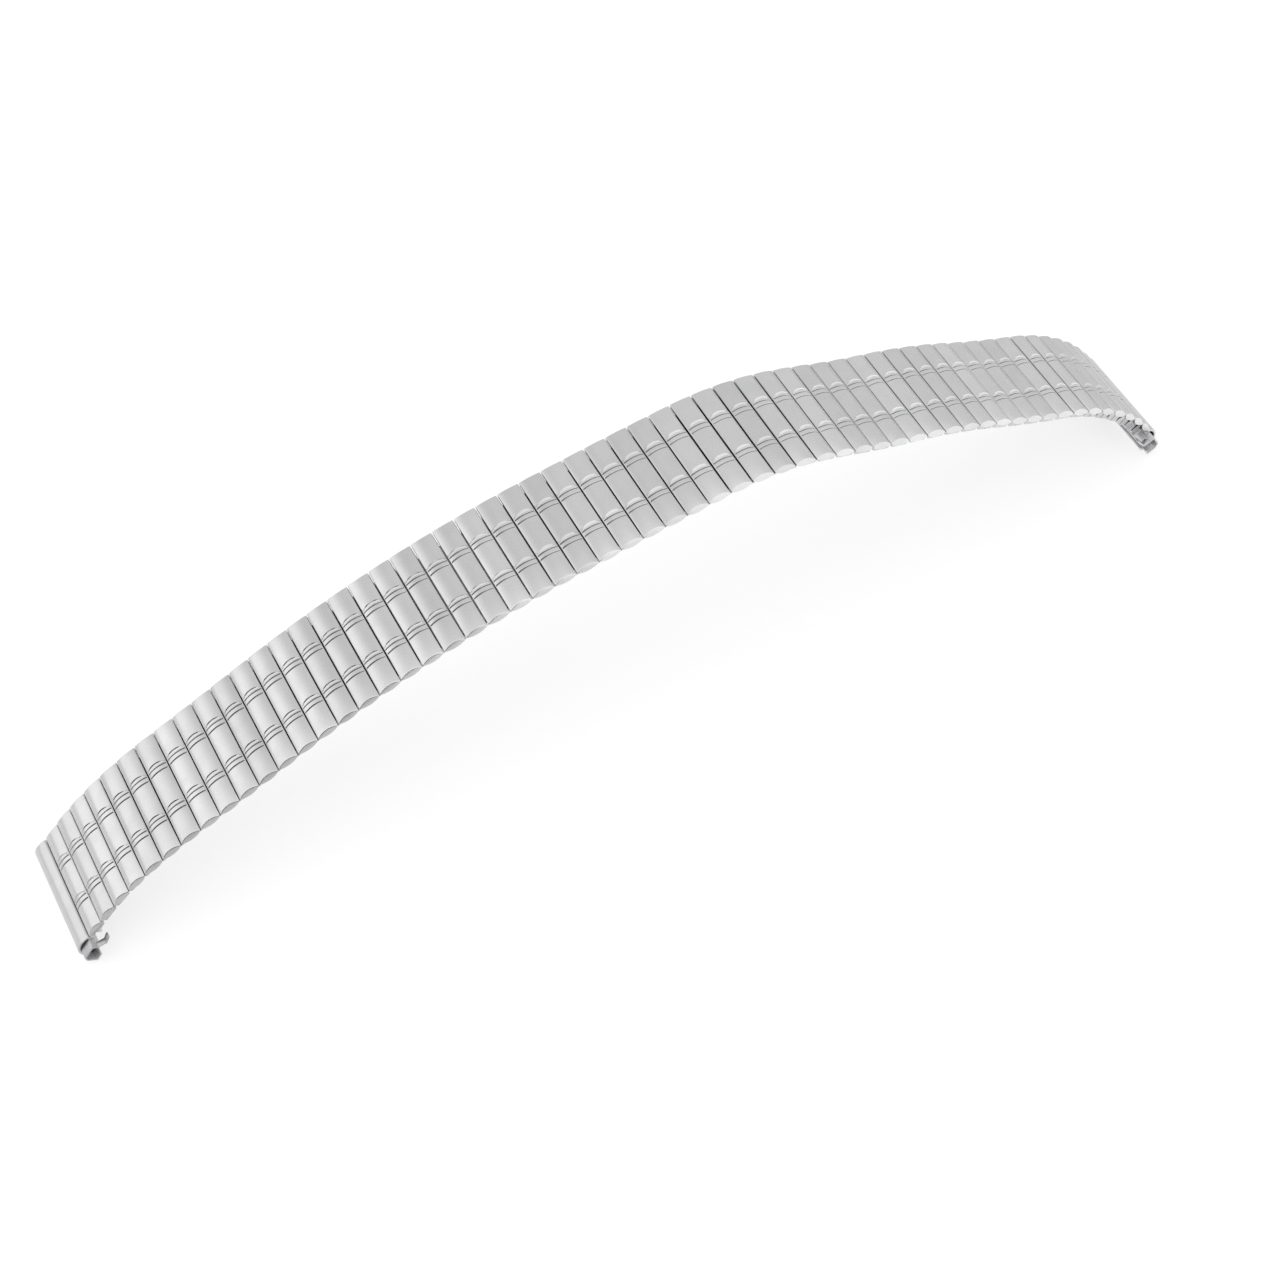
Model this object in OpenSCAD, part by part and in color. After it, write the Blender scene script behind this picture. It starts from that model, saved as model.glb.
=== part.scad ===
/* [Band] */
// Number of links in the upper row
link_count = 58; // [52:1:58]
// Distance from one link to the next
pitch = 3.175; // [3.1:0.025:3.4]
// Width of the band across the covers
band_w = 16; // [15:0.5:22]
// Distance of the sleeve ends from the edges of the covers
sleeve_inset = 1.65; // [1.3:0.05:2]

/* [Covers] */
// Gap between one cover and the next
cover_gap = 0.12; // [0.1:0.01:0.2]
// Thickness of the cover sheet
cover_sheet = 0.22; // [0.15:0.01:0.25]
// Height of a cover's long edges above the sleeve that it holds
cover_lift = 0.21; // [0.18:0.01:0.3]
// Rise of the arched top above its long edges
cover_rise = 0.42; // [0.3:0.01:0.6]
// Height of the cover's long side walls
cover_wall_h = 0.5; // [0.3:0.05:0.6]
// Depth of the curved lower edge of the end flaps below the bends of the long edges
flap_drop = 0.5; // [0.3:0.05:0.5]
// Lean of the ends above the long edges, back from upright
end_lean = 28; // [0:1:32]
// Radius of the bend between the top and the side walls
cover_bend_r = 0.12; // [0.05:0.01:0.2]

/* [Engraved lines] */
// Distance of each group of lines from the middle of the band
line_group_y = 3.13; // [2:0.01:5]
// Number of lines in a group
lines_in_group = 3; // [1:1:5]
// Distance from the middle of one line to the middle of the next
line_pitch = 0.7; // [0.4:0.01:0.9]
// Width of a line at the crown, where it is widest
line_w = 0.26; // [0.15:0.01:0.3]
// Depth of a line at the crown, where it is deepest
line_depth = 0.11; // [0.05:0.01:0.14]
// Length of a line along the band
line_l = 2.5; // [2:0.05:2.7]

/* [Sleeves] */
// Wall of the upper sleeves
upper_wall = 0.13; // [0.1:0.01:0.15]
// Wall of the lower sleeves and of the half sleeves in the caps
lower_wall = 0.15; // [0.12:0.01:0.18]
// Height of the lower sleeves
lower_h = 1.15; // [1:0.01:1.15]
// Gap between one lower sleeve and the next
lower_gap = 0.25; // [0.25:0.01:0.4]
// Extra room beside the half sleeve of a cap, which two hinges close
cap_extra_gap = 0.2; // [0.18:0.01:0.25]
// Gap between the two rows
row_gap = 0.15; // [0.12:0.01:0.2]
// Outer corner radius of the sleeves
sleeve_round = 0.25; // [0.16:0.01:0.35]

/* [Staples and leaf springs] */
// Diameter of a staple leg
leg_d = 0.34; // [0.28:0.01:0.34]
// Length of a leg inside its sleeve
leg_l = 4.3; // [2:0.1:6]
// Thickness of the bow that joins the two legs
bow_t = 0.37; // [0.2:0.01:0.45]
// Width of the tongue that takes the bow up to the leg in the upper sleeve
tongue_w = 0.8; // [0.5:0.05:1]
// Height of the bows' arched top, where the two of one lower sleeve meet
bow_top_z = 1.5; // [1.4:0.01:1.55]
// Rise of that arch above the outer corners of the bows
bow_rise = 0.45; // [0.3:0.01:0.5]
// Thickness of a leaf spring
leaf_t = 0.07; // [0.04:0.01:0.08]
// Distance of the leaf springs' ends from the sleeve ends
leaf_inset = 0.3; // [0.2:0.05:3]

/* [End caps] */
// Outer radius of the arched cap
cap_r = 2.65; // [2.6:0.05:2.8]
// Height of the centre of that arch
cap_centre_z = 0.33; // [0.3:0.01:0.4]
// Distance of that centre from the end of the last link
cap_centre_u = 1.55; // [1.5:0.05:1.6]
// Thickness of the cap sheet
cap_sheet = 0.32; // [0.25:0.01:0.35]
// Depth of the cap below the underside of the band
cap_drop = 0.42; // [0.42:0.01:0.5]
// Width of the lip that closes the cap's underside
cap_lip = 1.1; // [0.6:0.05:1.3]
// Radius of the cap's rounded bottom corner
cap_foot_r = 0.5; // [0.4:0.05:0.6]
// Radius of the cap's rounded edge beside the last link
cap_edge_r = 0.35; // [0.2:0.05:0.5]

/* [Telescoping inserts] */
// Radius of the spring bar bore
bar_bore_r = 0.8; // [0.7:0.05:0.8]
// Distance of the bore from the end of the last link
bar_u = 2; // [1.95:0.05:2.05]
// Height of the bore above the underside of the band
bar_z = 1.1; // [1.05:0.01:1.15]
// Thickness of the insert sheet
insert_sheet = 0.25; // [0.2:0.01:0.25]
// Length of an insert
insert_l = 6; // [4:0.5:7]
// Height of an insert
insert_h = 2.3; // [2.2:0.02:2.34]
// Distance of an insert's outer wall from the end of the last link
insert_out_u = 3.5; // [3.3:0.05:3.6]
// Width of the lip that closes an insert's underside
insert_lip = 1.3; // [1.2:0.05:1.5]
// Distance of the rolled tube from the outer end of the insert
tube_set_back = 1.2; // [0:0.1:2]
// How far the front inserts stand out as photographed
front_out = 1.3; // [0:0.1:3]

/* [Tabs of the inserts] */
// Run of the slanted stretch of the left tabs, along the band
left_slant = 0.85; // [0.1:0.05:0.9]
// Height of the turn below that stretch
left_turn_z = 0.45; // [0.3:0.05:0.5]
// Reach of the left tabs under the last link
left_reach = 1.6; // [1:0.1:2.4]
// Height of the tips of the left tabs
left_tip_z = 0.72; // [0.3:0.01:0.75]
// Run of the slanted stretch of the right tabs
right_slant = 0.15; // [0.1:0.05:0.9]
// Height of the turn below that stretch
right_turn_z = 0.3; // [0.1:0.05:0.5]
// Reach of the right tabs under the last link
right_reach = 2.3; // [1:0.1:2.4]
// Height of the tips of the right tabs
right_tip_z = -0.05; // [-0.05:0.01:0.6]

/* [Fits] */
// Clearance between a leg and what it turns in
leg_fit = 0.055; // [0.05:0.005:0.08]
// Clearance between nested sheets
nest_fit = 0.04; // [0.03:0.005:0.06]
// Gap between the sleeve ends and the bows
bow_fit = 0.08; // [0.06:0.01:0.12]
// Gap between the leaf springs in the caps and the caps' walls
leaf_side_fit = 0.08; // [0.06:0.01:0.12]
// Gap between the two bows on the end of one sleeve, and from a bow to the sleeve's side
bow_side_fit = 0.1; // [0.06:0.01:0.15]
// Clearance between an insert and the cap it slides in
insert_fit = 0.07; // [0.06:0.01:0.1]

/* [Hidden] */
// The bends of the band as it stands, from the left cap to the right one: [hinges, degrees each]
bend_runs = [
    [5, 4.2], [2, 3.2], [5, -0.3], [13, 1.4], [7, 0.4], [5, 4.7],
    [2, 1.7], [3, -1.7], [5, 2], [4, -1.2], [7, 4.9], [1, 2.3]
];
// Links that move as one with the next link
paired = [9, 28, 41, 48];

bends = [for (run = bend_runs) for (i = [1:run[0]]) run[1]];
steel = [0.78, 0.78, 0.79];
inner_steel = [0.62, 0.62, 0.64];
spring_steel = [0.5, 0.51, 0.54];
fine = 96;
small = 32;

leg_x = pitch / 4;
sleeve_l = band_w - 2 * sleeve_inset;
leaf_l = sleeve_l - 2 * leaf_inset;
upper_z = lower_h + row_gap;
upper_h = 2 * (upper_wall + leg_fit) + leg_d + leaf_t + nest_fit;
cover_l = pitch - cover_gap;
cover_edge_z = upper_z + upper_h + cover_lift;
cover_top_z = cover_edge_z + cover_rise;
cover_wall_z = cover_edge_z - cover_wall_h;
flap_z = cover_edge_z - cover_bend_r - flap_drop;
arch_r = arc_radius(cover_l, cover_rise);
flap_r = arc_radius(cover_l, flap_drop);
line_edge_z = cover_top_z - arch_r + sqrt(pow(arch_r, 2) - pow(line_l / 2, 2));
line_floor_z = cover_top_z - line_depth;
line_floor_r = arc_radius(line_l, line_floor_z - line_edge_z);

upper_w = cover_l - 2 * cover_sheet - 2 * nest_fit;
lower_w = pitch - lower_gap;
leg_r = leg_d / 2;
upper_leg_z = upper_z + upper_wall + leg_fit + leg_r;
upper_leaf_z = upper_leg_z + leg_r + leg_fit;
lower_leaf_z = lower_wall + nest_fit / 2;
lower_leg_z = lower_leaf_z + leaf_t + leg_fit + leg_r;
bow_y = sleeve_l / 2 + bow_fit;
bow_out_y = bow_y + bow_t;
bow_arch_r = arc_radius(lower_w - 2 * bow_side_fit, bow_rise);

cap_start_u = cover_gap / 2;
cap_inner_r = cap_r - cap_sheet;
cap_wall_u = cap_start_u + cap_sheet;
cap_foot_z = cap_foot_r - cap_drop;
cap_lip_z = cap_sheet - cap_drop - nest_fit;
cap_foot_u = cap_centre_u + sqrt(pow(cap_r - cap_foot_r, 2) - pow(cap_centre_z - cap_foot_z, 2));
cap_edge_u = cap_start_u + cap_edge_r;
cap_edge_z = cap_centre_z + sqrt(pow(cap_r - cap_edge_r, 2) - pow(cap_centre_u - cap_edge_u, 2));
half_sleeve_u = pitch / 2 - lower_gap / 2 - cap_extra_gap;
cap_wall_half = bow_out_y + bow_side_fit / 2;
tab_start_z = bar_z + insert_sheet;
tab_gate_z = tab_start_z + insert_sheet;
tab_w = band_w / 2 - cap_wall_half - bow_side_fit;
tube_r = bar_bore_r + insert_sheet;
insert_wall_u = cap_wall_u + insert_fit;
insert_top_z = bar_z + insert_h / 2;
insert_foot_z = bar_z - insert_h / 2;
home_y = band_w / 2;
past = 1;

// Radius of an arc from its chord and its rise
function arc_radius(chord, rise) = (pow(chord / 2, 2) + pow(rise, 2)) / (2 * rise);
// A point of the side view turned by an angle
function turn(a, p) = [p[0] * cos(a) - p[1] * sin(a), p[0] * sin(a) + p[1] * cos(a)];
// Where link k hinges on the link after it, along link k
function hinge_x(k) = k < link_count ? pitch + leg_x : pitch - leg_x;
// The start of link k+1, from the start of link k: they share the hinge between them
function next_start(k, o) = k > link_count ? o : o + turn(raw_angle[k], [hinge_x(k), upper_leg_z])
    - turn(raw_angle[k + 1], [hinge_x(k) - pitch, upper_leg_z]);

// The chain before it is stood on its ends: link 0 is the left cap, link_count + 1 the right one
raw_angle = [for (k = 0, a = 0; k <= link_count + 1; a = k <= link_count ? a - bends[k] : a, k = k + 1) a];
raw_start = [for (k = 0, o = [0, 0]; k <= link_count + 1; o = next_start(k, o), k = k + 1) o];
function raw_point(k, p) = raw_start[k] + turn(raw_angle[k], p);
left_foot = raw_point(0, [pitch - cap_foot_u, cap_foot_z]);
right_foot = raw_point(link_count + 1, [cap_foot_u, cap_foot_z]);
tilt = atan2(right_foot[1] - left_foot[1], right_foot[0] - left_foot[0]);
function level(p) = turn(-tilt, p - left_foot) + [0, cap_foot_r];
left_end = level(raw_point(0, [pitch - cap_centre_u, cap_centre_z]));
right_end = level(raw_point(link_count + 1, [cap_centre_u, cap_centre_z]));
middle_x = (left_end[0] + right_end[0]) / 2;

function link_angle(k) = raw_angle[k] - tilt;
function link_start(k) = level(raw_start[k]) - [middle_x, 0];
middle_y = front_out / 2;

// The links of each moving piece: one, or two that move as one
groups = [
    for (k = [1:link_count])
        if (len(search(k - 1, paired)) == 0 || k == 1)
            len(search(k, paired)) > 0 && k < link_count ? [k, k + 1] : [k]
];
function two_digits(k) = k < 10 ? str("0", k) : str(k);
function group_name(g) = len(g) > 1 ? str("links_", two_digits(g[0]), "_", two_digits(g[1]))
    : str("link_", two_digits(g[0]));

// Puts a link's own side view at its place in the band
module at_link(k) {
    o = link_start(k);
    translate([o[0], middle_y, o[1]]) rotate([0, -link_angle(k), 0]) children();
}

// Puts a cap's side view at its place: u runs outwards from the last link
module at_cap(right) {
    if (right) at_link(link_count + 1) children();
    else at_link(0) translate([pitch, 0, 0]) mirror([1, 0, 0]) children();
}

// A side view drawn out across the band, about its middle
module across(w) {
    rotate([90, 0, 0]) linear_extrude(height = w, center = true) children();
}

// A side view drawn out across the band between two distances from its middle
module between(y1, y2) {
    translate([0, y2, 0]) rotate([90, 0, 0]) linear_extrude(height = y2 - y1) children();
}

module disc(r, x, z, n = small) {
    translate([x, z]) circle(r = r, $fn = n);
}

module box2(x1, z1, x2, z2) {
    translate([x1, z1]) square([x2 - x1, z2 - z1]);
}

module rounded_box(w, h, r) {
    for (x = [-w / 2 + r, w / 2 - r]) for (z = [r, h - r]) disc(r, x, z);
    box2(-w / 2, r, w / 2, h - r);
    box2(-w / 2 + r, 0, w / 2 - r, h);
}

// Outline of a cover or of the space in it, drawn in by an inset, down to height z
module cover_outline(z, inset) {
    intersection() {
        disc(arch_r - inset, pitch / 2, cover_top_z - arch_r, fine);
        box2(cover_gap / 2 + inset, z, pitch - cover_gap / 2 - inset, cover_top_z);
    }
}

// Outline of a cover with the bends between its top and its side walls
module bent_outline(z) {
    centre = [pitch / 2, cover_top_z - arch_r];
    bend_x = cover_gap / 2 + cover_bend_r;
    bend = [bend_x, centre[1] + sqrt(pow(arch_r - cover_bend_r, 2) - pow(centre[0] - bend_x, 2))];
    out = (bend - centre) / norm(bend - centre) * past;
    difference() {
        cover_outline(z, 0);
        for (side = [0, 1])
            translate([side * pitch, 0]) mirror([side, 0])
                polygon([bend, bend - [past, 0], bend + [-past, past], bend + out]);
    }
    disc(cover_bend_r, bend[0], bend[1]);
    disc(cover_bend_r, pitch - bend[0], bend[1]);
}

// Each line is a V cut that follows the arch and runs out at both ends: the inner edge of a ring
module engraved_line() {
    reach = 2 * line_depth;
    flank = reach * line_w / 2 / line_depth;
    translate([pitch / 2, 0, line_floor_z - line_floor_r])
        rotate([90, 0, 0])
            rotate_extrude($fn = fine)
                translate([line_floor_r, 0])
                    polygon([[0, 0], [reach, -flank], [reach, flank]]);
}

module engraved_lines() {
    for (side = [-1, 1])
        for (i = [0:lines_in_group - 1])
            translate([0, side * line_group_y + (i - (lines_in_group - 1) / 2) * line_pitch, 0])
                engraved_line();
}

// The slanted cut at one end: all that lies beyond a plane that leans back from the long edges' ends
module end_cut() {
    edge_y = band_w / 2;
    top_z = cover_top_z + past;
    rotate([90, 0, 90])
        linear_extrude(height = pitch)
            polygon([
                [edge_y, cover_edge_z], [edge_y + past, cover_edge_z], [edge_y + past, top_z],
                [edge_y - (top_z - cover_edge_z) * tan(end_lean), top_z]
            ]);
}

// The flap that is folded down at one end, with its pointed corners at the long edges
module flap() {
    between(band_w / 2 - cover_sheet - past, band_w / 2)
        intersection() {
            bent_outline(flap_z);
            disc(flap_r, pitch / 2, flap_z + flap_r, fine);
        }
}

module cover() {
    color(steel)
        difference() {
            union() {
                across(band_w - 2 * cover_sheet) bent_outline(cover_wall_z);
                for (end = [0, 1]) mirror([0, end, 0]) flap();
            }
            across(band_w - 2 * cover_sheet) cover_outline(flap_z - past, cover_sheet);
            for (end = [0, 1]) mirror([0, end, 0]) end_cut();
            engraved_lines();
        }
}

module sleeve(w, h, wall) {
    across(sleeve_l)
        difference() {
            rounded_box(w, h, sleeve_round);
            translate([0, wall]) rounded_box(w - 2 * wall, h - 2 * wall, sleeve_round - wall);
        }
}

module upper_sleeve() {
    color(inner_steel) translate([pitch / 2, 0, upper_z]) sleeve(upper_w, upper_h, upper_wall);
}

module lower_sleeve() {
    color(steel) translate([pitch, 0, 0]) sleeve(lower_w, lower_h, lower_wall);
}

module leaf_spring(x, z, w) {
    color(spring_steel) translate([x - w / 2, -leaf_l / 2, z]) cube([w, leaf_l, leaf_t]);
}

module upper_leaf() {
    leaf_spring(pitch / 2, upper_leaf_z, upper_w - 2 * sleeve_round);
}

module lower_leaf() {
    leaf_spring(pitch, lower_leaf_z, lower_w - 2 * sleeve_round);
}

// Side view of a bow: one side of the arched plate over a lower sleeve's end, and its tongue
module bow_outline(middle, side, sleeve_half) {
    x = middle + side * leg_x;
    half = sleeve_half - bow_side_fit;
    intersection() {
        translate([middle, bow_side_fit / 2]) rounded_box(2 * half, upper_leg_z, sleeve_round);
        disc(bow_arch_r, middle, bow_top_z - bow_arch_r, fine);
        translate([middle + side * (bow_side_fit / 2 + half), 0])
            box2(-half, 0, half, bow_top_z);
    }
    disc(tongue_w / 2, x, upper_leg_z);
    box2(x - tongue_w / 2, lower_leg_z, x + tongue_w / 2, upper_leg_z);
}

// A staple on each edge, with one leg in an upper sleeve and one in a lower sleeve
module staples(middle, side, sleeve_half) {
    color(inner_steel)
        for (edge = [0, 1])
            mirror([0, edge, 0]) {
                between(bow_y, bow_out_y) bow_outline(middle, side, sleeve_half);
                for (z = [upper_leg_z, lower_leg_z])
                    between(sleeve_l / 2 - leg_l, bow_y + bow_t / 2)
                        disc(leg_r, middle + side * leg_x, z);
            }
}

// One link with the lower sleeve that follows it and the staples that hold both
module link(k) {
    at_link(k) {
        cover();
        upper_sleeve();
        upper_leaf();
        if (k < link_count) {
            lower_sleeve();
            lower_leaf();
            staples(pitch, -1, lower_w / 2);
            staples(pitch, 1, lower_w / 2);
        }
    }
}

module link_group(g) {
    for (k = g) link(k);
}

// Side view of the cap's outer surface
module cap_outline() {
    out = 2 * cap_r;
    foot = [cap_foot_u - cap_centre_u, cap_foot_z - cap_centre_z] / (cap_r - cap_foot_r) * out;
    edge = [cap_edge_u - cap_centre_u, cap_edge_z - cap_centre_z] / (cap_r - cap_edge_r) * out;
    difference() {
        intersection() {
            disc(cap_r, cap_centre_u, cap_centre_z, fine);
            box2(cap_start_u, -cap_drop, cap_centre_u + cap_r, cap_centre_z + cap_r);
        }
        polygon([[cap_foot_u, cap_foot_z], [cap_foot_u, -out],
            [cap_centre_u + foot[0], -out], [cap_centre_u + foot[0], cap_centre_z + foot[1]]]);
        polygon([[cap_edge_u, cap_edge_z], [-out, cap_edge_z],
            [-out, cap_centre_z + edge[1]], [cap_centre_u + edge[0], cap_centre_z + edge[1]]]);
    }
    disc(cap_foot_r, cap_foot_u, cap_foot_z);
    disc(cap_edge_r, cap_edge_u, cap_edge_z);
}

module cap_hollow() {
    lip_start = cap_foot_u + cap_foot_r - cap_lip;
    intersection() {
        disc(cap_inner_r, cap_centre_u, cap_centre_z, fine);
        box2(cap_wall_u, cap_lip_z, cap_centre_u + cap_r, cap_centre_z + cap_r);
    }
    box2(cap_wall_u, -2 * cap_drop, lip_start, cap_centre_z);
}

// Folded sheet: the arched cap with the half sleeve that the last staples go into
module cap_shell() {
    color(steel)
        difference() {
            union() {
                across(band_w) cap_outline();
                across(sleeve_l)
                    difference() {
                        translate([(cap_wall_u - half_sleeve_u) / 2, 0])
                            rounded_box(cap_wall_u + half_sleeve_u, lower_h, sleeve_round);
                        box2(cap_wall_u - sleeve_round, -past, cap_wall_u + past, lower_h + past);
                    }
            }
            across(band_w + past) {
                cap_hollow();
                box2(-past, -past, cap_wall_u + nest_fit, 0);
            }
            across(sleeve_l + past)
                box2(lower_wall - half_sleeve_u, lower_wall, cap_start_u, lower_h - lower_wall);
            for (edge = [0, 1])
                mirror([0, edge, 0])
                    between(cap_wall_half, band_w)
                        box2(-past, -past, cap_wall_u + nest_fit, tab_gate_z);
        }
}

module cap_leaf() {
    w = half_sleeve_u - sleeve_round - leaf_side_fit;
    leaf_spring(-leaf_side_fit - w / 2, lower_leaf_z, w);
}

module cap(right) {
    at_cap(right) {
        cap_shell();
        cap_leaf();
        staples(0, -1, half_sleeve_u);
    }
}

// A strip of sheet that follows a path of points, rounded at each
module strip(path, t) {
    for (p = path) disc(t / 2, p[0], p[1]);
    for (i = [0:len(path) - 2]) {
        d = path[i + 1] - path[i];
        translate(path[i]) rotate(atan2(d[1], d[0])) translate([0, -t / 2]) square([norm(d), t]);
    }
}

// Side view of the insert's channel, or of the space in it, drawn in by an inset
module channel_outline(inset) {
    intersection() {
        disc(cap_inner_r - insert_fit - inset, cap_centre_u, cap_centre_z, fine);
        box2(insert_wall_u + inset, insert_foot_z + inset, insert_out_u - inset, insert_top_z - inset);
    }
}

// The channel is open below, but for the lip on its outer side
module insert_outline() {
    difference() {
        channel_outline(0);
        channel_outline(insert_sheet);
        box2(insert_wall_u - past, insert_foot_z - past, insert_out_u - insert_lip, bar_z);
    }
}

// Side view of the tab that bends down and under the last link
module tab_outline(slant, turn_z, reach, tip_z) {
    u = insert_wall_u + insert_sheet / 2;
    strip([[u, tab_start_z], [u - slant, turn_z], [-reach, tip_z]], insert_sheet);
}

// An insert pushed home, drawn towards the front: channel, rolled tube for the spring bar and tab
module insert(right) {
    color(inner_steel) {
        difference() {
            union() {
                between(-home_y, -home_y + insert_l) insert_outline();
                between(-home_y + tube_set_back, -home_y + insert_l) disc(tube_r, bar_u, bar_z, fine);
            }
            between(-home_y + tube_set_back - past, -home_y + insert_l + past)
                disc(bar_bore_r, bar_u, bar_z, fine);
        }
        between(-home_y, -home_y + tab_w)
            if (right) tab_outline(right_slant, right_turn_z, right_reach, right_tip_z);
            else tab_outline(left_slant, left_turn_z, left_reach, left_tip_z);
    }
}

module placed_insert(right, back) {
    at_cap(right)
        mirror([0, back ? 1 : 0, 0])
            translate([0, back ? 0 : -front_out, 0])
                insert(right);
}

cap(false);  // cap_left
cap(true);  // cap_right
placed_insert(false, false);  // insert_left_front
placed_insert(false, true);  // insert_left_back
placed_insert(true, false);  // insert_right_front
placed_insert(true, true);  // insert_right_back
for (g = groups)
    link_group(g);
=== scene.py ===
import math
import bmesh
import bpy
from mathutils import Matrix, Vector


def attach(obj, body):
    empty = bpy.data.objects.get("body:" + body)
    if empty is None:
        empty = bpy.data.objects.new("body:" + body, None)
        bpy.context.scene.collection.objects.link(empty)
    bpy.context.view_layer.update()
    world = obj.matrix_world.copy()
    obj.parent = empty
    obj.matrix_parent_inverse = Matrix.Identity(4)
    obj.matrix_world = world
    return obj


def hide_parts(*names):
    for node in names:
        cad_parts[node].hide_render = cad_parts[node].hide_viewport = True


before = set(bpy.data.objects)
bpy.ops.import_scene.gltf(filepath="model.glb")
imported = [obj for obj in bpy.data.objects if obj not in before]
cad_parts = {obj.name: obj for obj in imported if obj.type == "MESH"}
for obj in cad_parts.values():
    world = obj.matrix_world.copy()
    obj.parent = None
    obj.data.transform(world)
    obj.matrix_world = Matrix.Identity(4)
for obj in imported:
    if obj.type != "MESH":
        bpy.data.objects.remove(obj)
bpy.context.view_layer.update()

# Camera, from where the photograph's dividing lines meet the links of the frame
camera_data = bpy.data.cameras.new("camera")
camera_data.lens = 57.137
camera_data.sensor_width = 36
camera_data.clip_start = 0.01
camera = bpy.data.objects.new("camera", camera_data)
camera.location = (-0.072967, -0.134601, 0.246091)
camera.rotation_euler = [math.radians(a) for a in (32.0067, 0.1642, -29.0877)]
bpy.context.scene.collection.objects.link(camera)
bpy.context.scene.camera = camera

# The sizes of the band, in millimetres: those of the part's source, but the engraved lines are a little
# longer, and the inserts' tabs and the gates for them are 0.25 narrower
LINKS = 58
PITCH = 3.175
BAND_W = 16
BENDS = [(5, 4.2), (2, 3.2), (5, -0.3), (13, 1.4), (7, 0.4), (5, 4.7),
         (2, 1.7), (3, -1.7), (5, 2), (4, -1.2), (7, 4.9), (1, 2.3)]
PAIRED = (9, 28, 41, 48)
FRONT_OUT = 1.3
MIDDLE_Y = FRONT_OUT / 2
MM = 0.001

# Gaps and fits
COVER_GAP, LOWER_GAP = 0.12, 0.25
LEG_FIT, NEST_FIT, INSERT_FIT = 0.055, 0.04, 0.07
BOW_FIT, LEAF_SIDE_FIT = 0.08, 0.08

# Covers and their engraved lines
COVER_L = PITCH - COVER_GAP
COVER_SHEET = 0.22
COVER_EDGE_Z = 2.33
COVER_RISE = 0.42
COVER_WALL_H = 0.5
COVER_WALL_Z = COVER_EDGE_Z - COVER_WALL_H
COVER_BEND = 0.12
FLAP_DROP = 0.5
FLAP_CORNER_Z = COVER_EDGE_Z - COVER_BEND
END_LEAN = 28
LINE_Y = 3.13
LINE_PITCH = 0.7
LINE_DEPTH = 0.11
LINE_L = 2.8
# The rows of points across a group of lines: the place in line pitches, how far the row stands off it,
# its share of the depth, and how far it swells back at the crown, of which SWELL_LOST is gone at the
# line's ends. The two front lines are narrow, and the back one is a shallow crescent.
SWELL_LOST = 0.95
LINE_ROWS = [(-1, -0.14, 0, 0), (-1, -0.06, 0.5, 0), (-1, 0, 1, 0), (-1, 0.1, 0.1, 0), (-0.5, 0, 0, 0),
             (0, -0.1, 0.15, 0), (0, 0, 1.45, 0), (0, 0.1, 0.15, 0),
             (1, -0.42, 0, 0), (1, -0.34, 1.4, 0), (1, -0.34, 0.95, 0.2), (1, -0.34, 0, 0.33)]

# Upper and lower sleeves
SLEEVE_L = 12.7
SLEEVE_ROUND = 0.25
UPPER_W = COVER_L - 2 * COVER_SHEET - 2 * NEST_FIT
UPPER_Z, UPPER_H, UPPER_WALL = 1.3, 0.82, 0.13
LOWER_W, LOWER_H, LOWER_WALL = PITCH - LOWER_GAP, 1.15, 0.15
CAP_EXTRA_GAP = 0.2
HALF_SLEEVE = LOWER_W / 2 - CAP_EXTRA_GAP

# Staples and leaf springs
LEG_R, LEG_L, LEG_X = 0.17, 4.3, PITCH / 4
UPPER_LEG_Z = UPPER_Z + UPPER_WALL + LEG_FIT + LEG_R
LOWER_LEAF_Z = LOWER_WALL + NEST_FIT / 2
LEAF_T, LEAF_INSET = 0.07, 0.3
LOWER_LEG_Z = LOWER_LEAF_Z + LEAF_T + LEG_FIT + LEG_R
UPPER_LEAF_Z = UPPER_LEG_Z + LEG_R + LEG_FIT
LEAF_L = SLEEVE_L - 2 * LEAF_INSET
CAP_LEAF_W = HALF_SLEEVE - SLEEVE_ROUND - LEAF_SIDE_FIT
CAP_LEAF_X = -LEAF_SIDE_FIT - CAP_LEAF_W / 2
BOW_Y = SLEEVE_L / 2 + BOW_FIT
BOW_T = 0.37
BOW_SIDE = 0.1
BOW_TOP_Z = 1.5
BOW_RISE = 0.45
TONGUE_R = 0.4

# Caps, in their own side view: U runs outwards from the last link
CAP_R, CAP_U, CAP_Z = 2.65, 1.55, 0.33
CAP_SHEET = 0.32
CAP_DROP = 0.42
CAP_LIP = 1.1
CAP_FOOT_R, CAP_EDGE_R = 0.5, 0.35
CAP_START = COVER_GAP / 2
CAP_GATE_Y, CAP_GATE_Z = 7.1, 1.6

# Inserts, in the side view of their cap
INSERT_SHEET = 0.25
INSERT_L = 6
INSERT_WALL = 0.45
INSERT_OUT = 3.5
INSERT_TOP, INSERT_FOOT = 2.25, -0.05
INSERT_LIP = 1.3
INSERT_R = CAP_R - CAP_SHEET - INSERT_FIT
BAR_U, BAR_Z, BAR_R = 2, 1.1, 0.8
TUBE_BACK = 1.2
TAB_W = 0.8
TAB_START_Z = BAR_Z + INSERT_SHEET
# Each side's tabs: how far they slant, the height where they turn, their reach and the height of their tips
TABS = {"left": (0.85, 0.45, 1.6, 0.72), "right": (0.15, 0.3, 2.3, -0.05)}

# How far the edges of the pieces are rounded
SHEET_EDGE, TUBE_EDGE, TAB_EDGE, BOW_EDGE = 0.06, 0.04, 0.07, 0.05
# Points nearer than TOUCH count as one place, and those nearer than WELD become one point
TOUCH, WELD = 1e-4, 1e-5
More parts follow.
